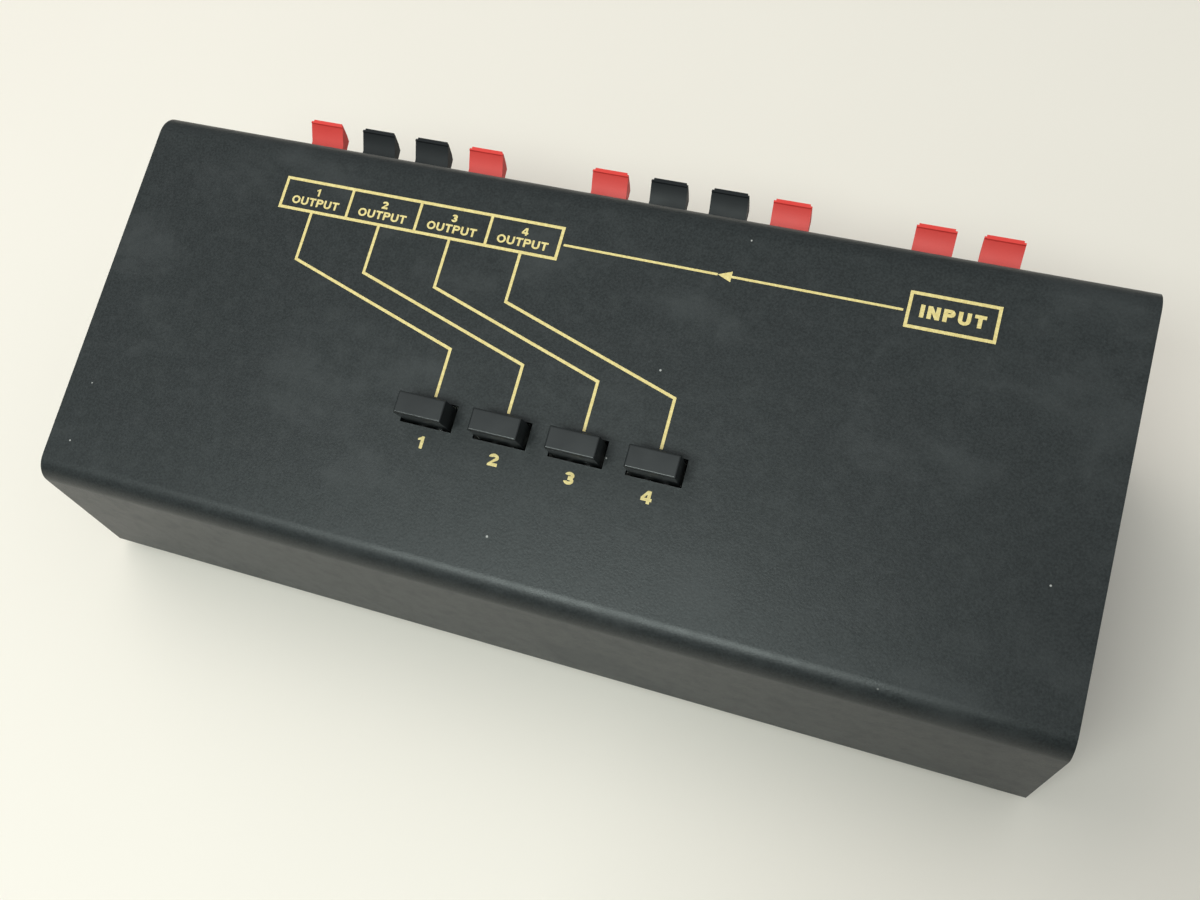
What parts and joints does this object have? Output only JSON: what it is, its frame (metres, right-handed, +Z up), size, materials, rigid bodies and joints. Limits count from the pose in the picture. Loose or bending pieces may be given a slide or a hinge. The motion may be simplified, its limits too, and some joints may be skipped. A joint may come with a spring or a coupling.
{
  "type": "speaker selector switch",
  "caption": "Sloping steel box with latching push buttons on the panel and rows of spring terminals with press levers in the rear wall.",
  "frame": {"origin": "on the standing surface, midway between the ends and between the front wall and the lever tips", "axes": "+X along the width, to the right as seen from the front; +Y to the rear, where the terminals are; +Z up"},
  "size_m": [0.2, 0.0886, 0.0567],
  "materials": {
    "black_paint": "satin, fine texture",
    "black_plastic": "satin moulded",
    "red_plastic": "satin moulded",
    "housing_plastic": "moulded",
    "zinc_steel": "zinc plated",
    "spring_steel": "drawn",
    "tinned_brass": "tinned",
    "rubber": "matt",
    "board": "phenolic paper",
    "nylon": "natural",
    "wire_red": "insulation",
    "wire_black": "insulation"
  },
  "bodies": {
    "root": {"cover": "black_paint", "cover_lugs": "zinc_steel", "base_tray": "black_paint", "feet": "rubber", "cover_screws": "zinc_steel", "switch_frame": "zinc_steel", "panel_studs": "zinc_steel", "frame_nuts": "zinc_steel", "latch_spring": "spring_steel", "switch_pins": "tinned_brass", "circuit_board": "board", "terminal_block_left": "housing_plastic", "terminal_block_middle": "housing_plastic", "terminal_block_right": "housing_plastic", "terminal_screws": "zinc_steel", "solder_tags": "tinned_brass", "wires_red": "wire_red", "wires_black": "wire_black", "return_spring_1": "spring_steel", "switch_body_1": "housing_plastic", "return_spring_2": "spring_steel", "switch_body_2": "housing_plastic", "return_spring_3": "spring_steel", "switch_body_3": "housing_plastic", "return_spring_4": "spring_steel", "switch_body_4": "housing_plastic", "clamp_spring_1": "spring_steel", "clamp_spring_2": "spring_steel", "clamp_spring_3": "spring_steel", "clamp_spring_4": "spring_steel", "clamp_spring_5": "spring_steel", "clamp_spring_6": "spring_steel", "clamp_spring_7": "spring_steel", "clamp_spring_8": "spring_steel", "clamp_spring_9": "spring_steel", "clamp_spring_10": "spring_steel"},
    "button_1": {"button_cap_1": "black_plastic", "plunger_1": "nylon"},
    "button_2": {"button_cap_2": "black_plastic", "plunger_2": "nylon"},
    "button_3": {"button_cap_3": "black_plastic", "plunger_3": "nylon"},
    "button_4": {"button_cap_4": "black_plastic", "plunger_4": "nylon"},
    "latch": {"latch_bar": "zinc_steel"},
    "terminal_lever_1": {"lever_1": "red_plastic"},
    "terminal_lever_2": {"lever_2": "black_plastic"},
    "terminal_lever_3": {"lever_3": "black_plastic"},
    "terminal_lever_4": {"lever_4": "red_plastic"},
    "terminal_lever_5": {"lever_5": "red_plastic"},
    "terminal_lever_6": {"lever_6": "black_plastic"},
    "terminal_lever_7": {"lever_7": "black_plastic"},
    "terminal_lever_8": {"lever_8": "red_plastic"},
    "terminal_lever_9": {"lever_9": "red_plastic"},
    "terminal_lever_10": {"lever_10": "red_plastic"}
  },
  "joints": [
    {"name": "button_1_press", "type": "slide", "parent": "root", "child": "button_1", "axis": [0, 0.2693, -0.9631], "range_m": [0, 0.004], "stiffness_N_per_m": 400, "springref_m": -0.0015, "deforming": ["return_spring_1"]},
    {"name": "button_2_press", "type": "slide", "parent": "root", "child": "button_2", "axis": [0, 0.2693, -0.9631], "range_m": [0, 0.004], "stiffness_N_per_m": 400, "springref_m": -0.0015, "deforming": ["return_spring_2"]},
    {"name": "button_3_press", "type": "slide", "parent": "root", "child": "button_3", "axis": [0, 0.2693, -0.9631], "range_m": [0, 0.004], "stiffness_N_per_m": 400, "springref_m": -0.0015, "deforming": ["return_spring_3"]},
    {"name": "button_4_press", "type": "slide", "parent": "root", "child": "button_4", "axis": [0, 0.2693, -0.9631], "range_m": [0, 0.004], "stiffness_N_per_m": 400, "springref_m": -0.0015, "deforming": ["return_spring_4"]},
    {"name": "latch_slide", "type": "slide", "parent": "root", "child": "latch", "axis": [1, 0, 0], "range_m": [0, 0.0012], "stiffness_N_per_m": 300, "springref_m": -0.001, "deforming": ["latch_spring"]},
    {"name": "lever_1_press", "type": "hinge", "parent": "root", "child": "terminal_lever_1", "pos_m": [-0.06905, 0.0321, 0.04162], "axis": [-1, 0, 0], "range_deg": [0, 22], "stiffness_Nm_per_rad": 0.12, "springref_deg": -8.59, "deforming": ["clamp_spring_1"]},
    {"name": "lever_2_press", "type": "hinge", "parent": "root", "child": "terminal_lever_2", "pos_m": [-0.05655, 0.0321, 0.04162], "axis": [-1, 0, 0], "range_deg": [0, 22], "stiffness_Nm_per_rad": 0.12, "springref_deg": -8.59, "deforming": ["clamp_spring_2"]},
    {"name": "lever_3_press", "type": "hinge", "parent": "root", "child": "terminal_lever_3", "pos_m": [-0.04405, 0.0321, 0.04162], "axis": [-1, 0, 0], "range_deg": [0, 22], "stiffness_Nm_per_rad": 0.12, "springref_deg": -8.59, "deforming": ["clamp_spring_3"]},
    {"name": "lever_4_press", "type": "hinge", "parent": "root", "child": "terminal_lever_4", "pos_m": [-0.03155, 0.0321, 0.04162], "axis": [-1, 0, 0], "range_deg": [0, 22], "stiffness_Nm_per_rad": 0.12, "springref_deg": -8.59, "deforming": ["clamp_spring_4"]},
    {"name": "lever_5_press", "type": "hinge", "parent": "root", "child": "terminal_lever_5", "pos_m": [-0.00415, 0.0321, 0.04162], "axis": [-1, 0, 0], "range_deg": [0, 22], "stiffness_Nm_per_rad": 0.12, "springref_deg": -8.59, "deforming": ["clamp_spring_5"]},
    {"name": "lever_6_press", "type": "hinge", "parent": "root", "child": "terminal_lever_6", "pos_m": [0.00835, 0.0321, 0.04162], "axis": [-1, 0, 0], "range_deg": [0, 22], "stiffness_Nm_per_rad": 0.12, "springref_deg": -8.59, "deforming": ["clamp_spring_6"]},
    {"name": "lever_7_press", "type": "hinge", "parent": "root", "child": "terminal_lever_7", "pos_m": [0.02085, 0.0321, 0.04162], "axis": [-1, 0, 0], "range_deg": [0, 22], "stiffness_Nm_per_rad": 0.12, "springref_deg": -8.59, "deforming": ["clamp_spring_7"]},
    {"name": "lever_8_press", "type": "hinge", "parent": "root", "child": "terminal_lever_8", "pos_m": [0.03335, 0.0321, 0.04162], "axis": [-1, 0, 0], "range_deg": [0, 22], "stiffness_Nm_per_rad": 0.12, "springref_deg": -8.59, "deforming": ["clamp_spring_8"]},
    {"name": "lever_9_press", "type": "hinge", "parent": "root", "child": "terminal_lever_9", "pos_m": [0.06095, 0.0321, 0.04162], "axis": [-1, 0, 0], "range_deg": [0, 22], "stiffness_Nm_per_rad": 0.12, "springref_deg": -8.59, "deforming": ["clamp_spring_9"]},
    {"name": "lever_10_press", "type": "hinge", "parent": "root", "child": "terminal_lever_10", "pos_m": [0.07345, 0.0321, 0.04162], "axis": [-1, 0, 0], "range_deg": [0, 22], "stiffness_Nm_per_rad": 0.12, "springref_deg": -8.59, "deforming": ["clamp_spring_10"]}
  ]
}
